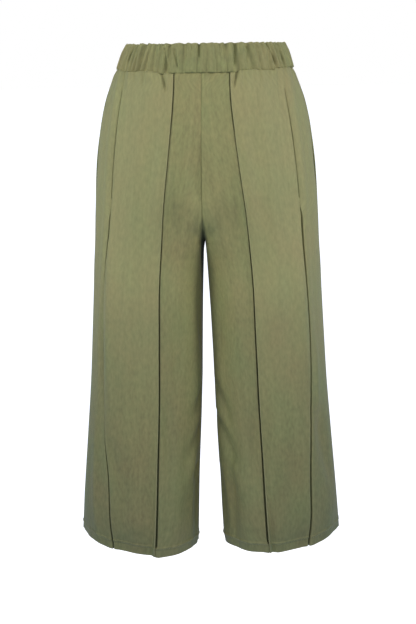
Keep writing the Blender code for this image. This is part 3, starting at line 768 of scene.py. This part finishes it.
# Deep gathers at the front: x at the top and at the foot, where each starts and ends as a
# share of the band's height, half width and depth
DEEP_GATHERS = (
    (-0.111, -0.116, 1, 0.25, 0.0016, 0.0022), (-0.0672, -0.064, 1, 0.72, 0.0014, 0.0016),
    (-0.06, -0.0525, 0.8, 0, 0.0016, 0.0021), (-0.053, -0.049, 0.95, 0.35, 0.002, 0.001),
    (-0.0455, -0.034, 0.8, 0, 0.0017, 0.0018), (-0.025, -0.0235, 1, 0.3, 0.0022, 0.0008),
    (-0.0045, -0.004, 1, 0.45, 0.0013, 0.0021), (0.013, 0.011, 1, 0.3, 0.0022, 0.0008),
    (0.0365, 0.029, 1, 0.2, 0.0016, 0.0018), (0.052, 0.0465, 0.95, 0.05, 0.0016, 0.0021),
    (0.059, 0.0545, 1, 0.4, 0.0018, 0.0012), (0.072, 0.064, 0.85, 0.1, 0.0019, 0.0013),
    (0.101, 0.1085, 1, 0.1, 0.0017, 0.0021), (0.116, 0.12, 0.9, 0.1, 0.0018, 0.002),
)
HIDDEN_DEEP_GATHERS = 22
waistband_cloth = woven_viscose("woven_viscose_band", "#788257", "#857F57", "#94956F")


def band_ring(rise, angle):
    """A point and outward direction on the waistband's mid-line. angle 0 is the centre front."""
    half_width, front, back = (mix(ends, np.clip(rise, 0, 1)) for ends in BAND_RING)
    depth = np.where(np.cos(angle) > 0, front, back)
    x = half_width * np.sin(angle) * rounded(angle)
    y = -depth * np.cos(angle) * rounded(angle)
    from_front = np.minimum(angle % (2 * math.pi), -angle % (2 * math.pi))
    side_seam = math.pi / 2 - math.radians(form("seam_turn", WAIST_SEAM_Z))
    across = np.minimum(from_front / side_seam, (math.pi - from_front) / (math.pi - side_seam))
    seam_z = WAIST_SEAM_Z + SEAM_GAP + WAIST_SEAM_RISE * across ** 2
    z = seam_z + (BAND_TOP_Z - seam_z) * rise
    out = np.stack([np.sin(angle) / half_width, -np.cos(angle) / depth, 0 * angle], -1)
    out /= np.linalg.norm(out, axis=-1, keepdims=True)
    return np.stack([x, y, z], -1), out


def band_gathers(angle, rng):
    """The band's gathers, as a function of how far up the band a row lies."""
    pitch = 2 * math.pi / GATHERS
    places = (np.arange(GATHERS) + rng.uniform(-0.28, 0.28, GATHERS)) * pitch
    lean = rng.uniform(-0.35, 0.35, GATHERS) * pitch
    at_top = rng.uniform(0.25, 1.0, GATHERS)
    at_foot = rng.uniform(0.15, 1.0, GATHERS)
    width = rng.uniform(0.24, 0.38, GATHERS) * pitch
    front = np.linspace(-math.pi / 2, math.pi / 2, 400)
    front_x = band_ring(np.full(400, 0.5), front)[0][:, 0]
    deep = [(np.interp(top, front_x, front), np.interp(foot, front_x, front), *rest)
            for top, foot, *rest in DEEP_GATHERS]
    for _ in range(HIDDEN_DEEP_GATHERS):
        place = rng.uniform(0.56 * math.pi, 1.44 * math.pi)
        low = rng.uniform(0.0, 0.5)
        deep.append((place, place + rng.uniform(-0.05, 0.05), 1.0, low, rng.uniform(0.0014, 0.0022),
                     rng.uniform(0.0010, 0.0022)))

    def gap(middle):
        return (angle - middle + math.pi) % (2 * math.pi) - math.pi

    def height(rise):
        total = np.zeros(len(angle))
        for k in range(GATHERS):
            middle = places[k] + lean[k] * (rise - 0.5)
            total += mix((at_foot[k], at_top[k]), rise) * bell(gap(middle), 0, width[k])
        total = GATHER_HEIGHT * (total ** 0.5 - 0.6)
        for top, foot, start, stop, half_width, depth in deep:
            down = (start - rise) / (start - stop)
            if -0.05 < down < 1:
                strength = DEEP_STRENGTH * ease(1 - down, 0, 0.35)
                total -= depth * strength * bell(gap(mix((foot, top), rise)) * GATHER_RADIUS, 0, half_width)
        return total

    return height


def waistband():
    """The band's cloth: in at the seam, up its outer face, over the elastic and down inside."""
    count = GATHERS * POINTS_PER_GATHER
    angle = np.arange(count) * 2 * math.pi / count
    height = band_gathers(angle, np.random.default_rng(7))
    # Each row of the profile: how far up, how far out of the middle line, and how full its gathers are
    profile = [(0.020, -0.0034, 0.0), (0.008, -0.0012, 0.0), (-0.002, 0.0002, 0.15), (0.004, 0.0012, 0.4)]
    for rise in np.linspace(0.03, 0.95, 20):
        swell = 0.0009 * math.sin(math.pi * rise) ** 0.6
        profile.append((rise, BAND_FACE + swell - 0.0064 * max(0, rise - 0.7), 1.0))
    for turn in np.linspace(0.15, math.pi - 0.15, 7):
        profile.append((0.965 + 0.035 * math.sin(turn), 0.6 * BAND_FACE * math.cos(turn) - 0.0006, 0.75))
    profile += [(rise, -BAND_FACE, 0.75) for rise in np.linspace(0.94, 0.05, 9)]
    rows, coordinates, wear_and_highlight = [], [], []
    length = 0.0
    steps = np.linalg.norm(np.diff(band_ring(np.full(count, 0.5), angle)[0], axis=0), axis=1)
    around = np.concatenate([[0], np.cumsum(steps)])
    for index, (rise, out_by, fullness) in enumerate(profile):
        points, out = band_ring(np.full(count, rise), angle)
        ripple = height(min(max(rise, 0.0), 1.0))
        points = points + out * (out_by + fullness * ripple)[:, None]
        points[:, 2] += GATHER_SCALLOP / GATHER_HEIGHT * ripple * ease(rise, 0.80, 1.0)
        wave = np.where(points[:, 1] < 0, seam_wave(True, points[:, 0]), seam_wave(False, points[:, 0]))
        points[:, 2] += wave * (1 - ease(rise, 0.0, 0.55))
        points[:, 0] += BAND_LEAN * max(rise, 0.0) ** 1.5 * ease(-points[:, 0], 0.070, 0.120)
        rows.append(points)
        if index:
            length += math.dist(rows[-1][0], rows[-2][0])
        coordinates.append(np.stack([around, np.full(count, length)], 1))
        wear_and_highlight.append(np.full(count, 0.4 * ease(rise, 0.93, 1.0)))
    return np.array(rows), np.array(coordinates), np.array(wear_and_highlight)


grid, coordinates, wear_and_highlight = waistband()
band = cloth_object("waistband_cloth", grid, coordinates, wear_and_highlight, True, waistband_cloth, closed=True)
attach(band, "root")
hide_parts("waistband")

# ---------------------------------------------------------------------------------------
# Pocket bags
# Each pocket is a flat bag of the same cloth that hangs inside the front, with its mouth
# in the side seam. Only its inner lips show through the mouth.
# ---------------------------------------------------------------------------------------
MOUTH_END = 0.0040
POCKET_DEPTH = 0.112
POCKET_DROP = 0.040
POCKET_SPACE = 0.0030
POCKET_HEM = 0.0085
POCKET_UNDER = 0.00145  # from the panel's face to the bag's own, at the mouth
POCKET_SINK = 0.0009
POCKET_TAPER = 0.55
POCKET_SQUARENESS = (0.6, 0.5)
POCKET_STAGES = 22
POCKET_POINTS = 56
# The bag's cloth is given darker shades than the legs' cloth: painted shade for the hollow inside the
# front, seen through the mouth.
pocket_painted_shade_cloth = woven_viscose("woven_viscose_pocket_painted_shade", "#636D43", "#726A43", "#85855F")


def beside_seam(z, s):
    """Point and normal at distance s from the side seam, towards the front, or the back if negative."""
    part = "front" if s >= 0 else "back"
    across, distance, _ = row_scale(part, z)
    u = np.interp(distance[-1] - abs(s), distance, across)
    return surface(part, z, u), outward(part, z, u)


def squared(value, power):
    """A cosine or sine made flatter near its ends, its sign kept."""
    return math.copysign(abs(value) ** power, value)


def pocket_grid(side):
    """Rings of the bag from its mouth to its far edge, which closes flat."""
    rings, coordinates = [], []
    for stage in range(POCKET_STAGES):
        inward = stage / (POCKET_STAGES - 1)
        drop = POCKET_DROP * math.sin(math.pi / 2 * min(1.0, 1.6 * inward))
        middle_z = (MOUTH_TOP_Z + MOUTH_FOOT_Z - drop) / 2
        half_z = (MOUTH_TOP_Z - MOUTH_FOOT_Z + drop) / 2 - MOUTH_END
        half_z *= math.sqrt(1 - POCKET_TAPER * inward ** 4)
        ring, flat = [], []
        for k in range(POCKET_POINTS):
            turn = 2 * math.pi * k / POCKET_POINTS
            z = middle_z + half_z * squared(math.cos(turn), POCKET_SQUARENESS[0])
            layer = squared(math.sin(turn), POCKET_SQUARENESS[1])
            s = inward * POCKET_DEPTH + (1 - inward) * POCKET_HEM * (layer - 0.12)
            opened = ease(inward, 0, 0.14)
            closing = 1 - 0.8 * ease(inward, 0.85, 1.0)
            under = POCKET_UNDER + opened * (POCKET_SINK + POCKET_SPACE / 2 * (1 - layer * closing))
            point, normal = beside_seam(z, s)
            ring.append((point - normal * under) * (side, 1, 1))
            flat.append((inward * POCKET_DEPTH, half_z * turn))
        rings.append(ring)
        coordinates.append(flat)
    return np.array(rings), np.array(coordinates)


for word, side in sides.items():
    grid, coordinates = pocket_grid(side)
    bag = cloth_object("pocket_" + word + "_cloth", grid, coordinates, np.zeros(grid.shape[:2]), side > 0,
                       pocket_painted_shade_cloth, closed=True)
    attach(bag, "root")
    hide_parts("pocket_" + word)

# ---------------------------------------------------------------------------------------
# Hem stitching
# A line of lockstitches in thread a shade paler than the cloth, partly painted highlight along the hem's
# top, holds the turned-up cloth 14 mm above the foot of each panel, just under its raw edge. Each stitch
# lies along the cloth, a little apart.
# ---------------------------------------------------------------------------------------
STITCH_PITCH = 0.0032
STITCH_LENGTH = 0.0026
THREAD = 0.00038
STITCH_ROW_Z = HEM_TOP_Z - 0.0012
STITCH_STAND = 0.00036
EDGE_POINTS = 7  # points of the seam's turned-in edge, which has no stitches


def spun_thread(name, shade):
    """Spun polyester thread: a little smoother than the cloth it holds, and paler, partly its own shade and
    partly painted highlight along the hem's top.
    """
    material, tree = empty_material(name)
    place = add_node(tree, "ShaderNodeTexCoord")
    ply = {"Vector": place.outputs["Object"], "Scale": 2600.0, "Detail": 1.0}
    colour = blended(tree, add_node(tree, "ShaderNodeTexNoise", ply), linear(shade), linear("#B2B28C"))
    inputs = {"Base Color": colour, "Roughness": 0.5, "Sheen Weight": 0.2}
    add_node(tree, "ShaderNodeOutputMaterial", {0: add_node(tree, "ShaderNodeBsdfPrincipled", inputs)})
    return material


def stitch_tree(material):
    """Geometry nodes that set stitches along a line of edges, one every pitch."""
    tree = bpy.data.node_groups.new("stitches", "GeometryNodeTree")
    tree.interface.new_socket("Geometry", in_out="INPUT", socket_type="NodeSocketGeometry")
    sockets = {}
    for name in ("Pitch", "Length", "Thread"):
        socket = tree.interface.new_socket(name, in_out="INPUT", socket_type="NodeSocketFloat")
        sockets[name] = socket.identifier
    tree.interface.new_socket("Geometry", in_out="OUTPUT", socket_type="NodeSocketGeometry")
    given = add_node(tree, "NodeGroupInput").outputs
    path = add_node(tree, "GeometryNodeMeshToCurve", {0: given["Geometry"]})
    inputs = {"Curve": path, "Length": given["Pitch"]}
    places = add_node(tree, "GeometryNodeResampleCurve", inputs, mode="LENGTH")
    ball = add_node(tree, "GeometryNodeMeshUVSphere", {"Segments": 6, "Rings": 5, "Radius": 0.5})
    size = {"X": given["Thread"], "Y": given["Thread"], "Z": given["Length"]}
    along = {"Vector": add_node(tree, "GeometryNodeInputTangent")}
    put = add_node(tree, "GeometryNodeInstanceOnPoints", {
        "Points": places, "Instance": ball, "Scale": add_node(tree, "ShaderNodeCombineXYZ", size),
        "Rotation": add_node(tree, "FunctionNodeAlignRotationToVector", along, axis="Z"),
    })
    real = add_node(tree, "GeometryNodeRealizeInstances", {0: put})
    smooth = add_node(tree, "GeometryNodeSetShadeSmooth", {0: real})
    finished = add_node(tree, "GeometryNodeSetMaterial", {0: smooth, "Material": material})
    add_node(tree, "NodeGroupOutput", {0: finished})
    return tree, sockets


def stitched_line(name, points, tree, sockets):
    """A row of stitches along a line of points, as one plain mesh."""
    line = bpy.data.meshes.new(name + "_line")
    line.from_pydata([tuple(p) for p in points], [(i, i + 1) for i in range(len(points) - 1)], [])
    guide = add_object(name + "_line", line)
    nodes = guide.modifiers.new("stitches", "NODES")
    nodes.node_group = tree
    nodes[sockets["Pitch"]] = STITCH_PITCH
    nodes[sockets["Length"]] = STITCH_LENGTH
    nodes[sockets["Thread"]] = THREAD
    graph = bpy.context.evaluated_depsgraph_get()
    mesh = bpy.data.meshes.new_from_object(guide.evaluated_get(graph))
    mesh.name = name
    bpy.data.objects.remove(guide, do_unlink=True)
    return add_object(name, mesh)


thread = spun_thread("spun_polyester_thread_painted_highlight", "#9C9D75")
tree, sockets = stitch_tree(thread)
for part, word in panels:
    side = sides[word]
    make_line = front_line if part == "front" else back_line
    line, _, across, distance, _ = make_line(STITCH_ROW_Z, side)
    face = line[EDGE_POINTS:-EDGE_POINTS]
    on_face = lay(part, STITCH_ROW_Z, offset_line(face, STITCH_STAND), across, distance, side)
    row = stitched_line("hem_stitches_" + part + "_" + word, on_face, tree, sockets)
    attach(row, "root")

# ---------------------------------------------------------------------------------------
# Floor, light and camera
# A pale floor far enough below that the garment hangs clear of it. Two narrow lamps light the
# sides, two wider ones the front from the left and the right, and one the back. The room adds a
# dim bluish light. The camera is level with the waistband and a little to its right.
# ---------------------------------------------------------------------------------------
FLOOR_Z = -1.04
FLOOR_REACH = 60
CAMERA_TURN = math.radians(2.6)
CAMERA_ROLL = math.radians(0.75)
CAMERA_DISTANCE = 2.8
AIM_Z = -0.402
PIXELS_PER_METRE = 625.0
PIXELS_HIGH = 624
SENSOR = 36.0
ROOM = 0.49  # how strongly the room lights the cloth


def pale_floor():
    """A pale floor that stays white in the picture and throws no light up under the cloth."""
    material, tree = empty_material("matt_white_vinyl")
    add_node(tree, "ShaderNodeOutputMaterial", {0: add_node(tree, "ShaderNodeBsdfPrincipled", {
        "Base Color": linear("#F4F4F2"), "Roughness": 0.9,
        "Emission Color": (1, 1, 1, 1), "Emission Strength": 0.9,
    })})
    mesh = bpy.data.meshes.new("floor")
    corners = [(x * FLOOR_REACH, y * FLOOR_REACH, FLOOR_Z) for x, y in ((-1, -1), (1, -1), (1, 1), (-1, 1))]
    mesh.from_pydata(corners, [], [(0, 1, 2, 3)])
    mesh.materials.append(material)
    floor = add_object("floor", mesh)
    floor.visible_diffuse = False
    floor.visible_glossy = False


def studio_room():
    """A room that is white to look at and dimmer as a source of light."""
    world = bpy.data.worlds.new("studio")
    world.use_nodes = True
    tree = world.node_tree
    tree.nodes.clear()
    room = add_node(tree, "ShaderNodeBackground", {"Color": linear("#D0E0FF"), "Strength": ROOM})
    white = add_node(tree, "ShaderNodeBackground", {"Color": (1, 1, 1, 1), "Strength": 1.0})
    seen = add_node(tree, "ShaderNodeLightPath").outputs["Is Camera Ray"]
    shown = add_node(tree, "ShaderNodeMixShader", {0: seen, 1: room, 2: white})
    add_node(tree, "ShaderNodeOutputWorld", {0: shown})
    bpy.context.scene.world = world


def soft_light(name, place, aim, size, spread, power, colour):
    """A round soft lamp with a beam that fades out towards its edge."""
    lamp = bpy.data.lights.new(name, "SPOT")
    lamp.shadow_soft_size = size
    lamp.spot_size = math.radians(spread)
    lamp.spot_blend = 1.0
    lamp.energy = power
    lamp.color = linear(colour)[:3]
    light = add_object(name, lamp)
    light.location = place
    light.rotation_mode = "QUATERNION"
    light.rotation_quaternion = (Vector(aim) - Vector(place)).to_track_quat("-Z", "Y")


def place_camera():
    place = CAMERA_DISTANCE * Vector((math.sin(CAMERA_TURN), -math.cos(CAMERA_TURN), 0))
    ahead = Vector((0, 0, AIM_Z)) - place
    lens = bpy.data.cameras.new("camera")
    lens.sensor_width = SENSOR
    lens.lens = PIXELS_PER_METRE * ahead.length / PIXELS_HIGH * SENSOR
    lens.clip_end = 200
    camera = add_object("camera", lens)
    turn = ahead.to_track_quat("-Z", "Y") @ Quaternion((0, 0, 1), -CAMERA_ROLL)
    camera.matrix_world = Matrix.Translation(place) @ turn.to_matrix().to_4x4()
    bpy.context.scene.camera = camera


pale_floor()
studio_room()
soft_light("side_left", (-2.30, -1.05, 0.60), (-0.12, 0, -0.16), 0.40, 20, 245, "#FFF6DC")
soft_light("side_right", (2.30, -1.05, 0.60), (0.12, 0, -0.16), 0.40, 20, 240, "#FFF7E2")
soft_light("front_left", (-1.20, -2.40, 1.10), (0, 0, -0.30), 0.40, 40, 72, "#FFE9D2")
soft_light("front_right", (1.20, -2.40, 1.10), (0, 0, -0.30), 0.40, 40, 92, "#FFE7CF")
soft_light("behind", (0.0, 2.6, 0.90), (0, 0, -0.20), 0.60, 60, 170, "#FFEBCC")
place_camera()
bpy.context.scene.view_settings.view_transform = "Standard"
